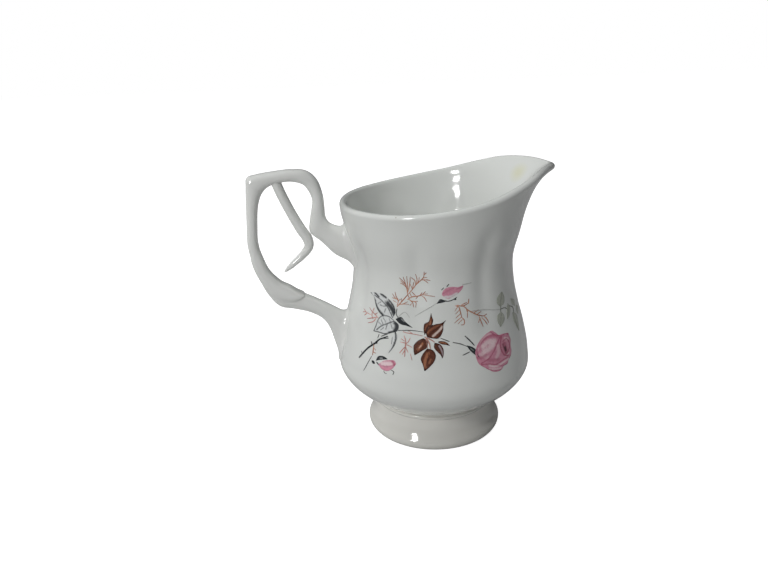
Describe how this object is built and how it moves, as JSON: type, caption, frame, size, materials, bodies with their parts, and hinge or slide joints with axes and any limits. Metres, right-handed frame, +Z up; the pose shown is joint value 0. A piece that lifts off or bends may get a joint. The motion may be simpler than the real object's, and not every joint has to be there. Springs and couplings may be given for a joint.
{
  "type": "cream jug",
  "caption": "Porcelain cream jug on a pedestal foot, with a pulled spout, swooping rim, fluted wall, angular loop handle and a fired floral transfer.",
  "frame": {"origin": "centre of the foot's flat underside", "axes": "+Z up along the jug's axis, +X towards the spout, -X towards the handle, +Y across"},
  "size_m": [0.1235, 0.0794, 0.1122],
  "materials": {
    "porcelain_body": "glossy",
    "porcelain_foot": "glossy",
    "porcelain_handle": "glossy",
    "pink_enamel": "glossy",
    "brown_enamel": "glossy",
    "grey_enamel": "glossy",
    "coral_enamel": "glossy",
    "pale_enamel": "glossy"
  },
  "bodies": {
    "root": {"body": "porcelain_body", "foot": "porcelain_foot", "handle": "porcelain_handle", "handle_scroll": "porcelain_handle", "rose_transfer": "pink_enamel", "brown_leaf_transfer": "brown_enamel", "grey_leaf_transfer": "grey_enamel", "sprig_transfer": "coral_enamel", "pale_leaf_transfer": "pale_enamel"}
  },
  "joints": []
}
